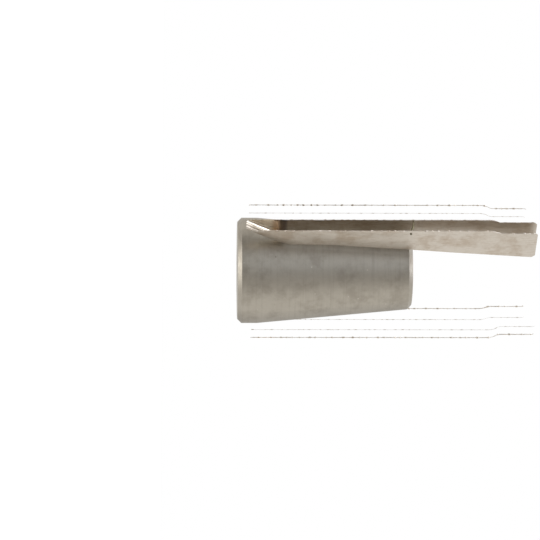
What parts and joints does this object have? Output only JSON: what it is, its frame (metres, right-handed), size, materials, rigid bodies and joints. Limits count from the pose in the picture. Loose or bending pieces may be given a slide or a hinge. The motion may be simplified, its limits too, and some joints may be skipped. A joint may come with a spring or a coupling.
{
  "type": "drop-in anchor",
  "caption": "Slotted steel sleeve with a threaded bore at one end, a turned-down collar at the other, and a tapered plug inside that spreads the slotted end when it is driven.",
  "frame": {"origin": "centre of the mouth face, which is the face that stays flush with the concrete and that the anchor stands on here", "axes": "+Z along the sleeve from the mouth to the slotted end; the slots open along +X, +Y, -X and -Y"},
  "size_m": [0.0116, 0.0116, 0.04],
  "materials": {
    "sleeve_steel": "tumbled and passivated, satin, with fine pitting and light scratches",
    "plug_steel": "turned and tumbled, satin"
  },
  "bodies": {
    "root": {"sleeve": "sleeve_steel", "expander_plug": "plug_steel"}
  },
  "joints": []
}
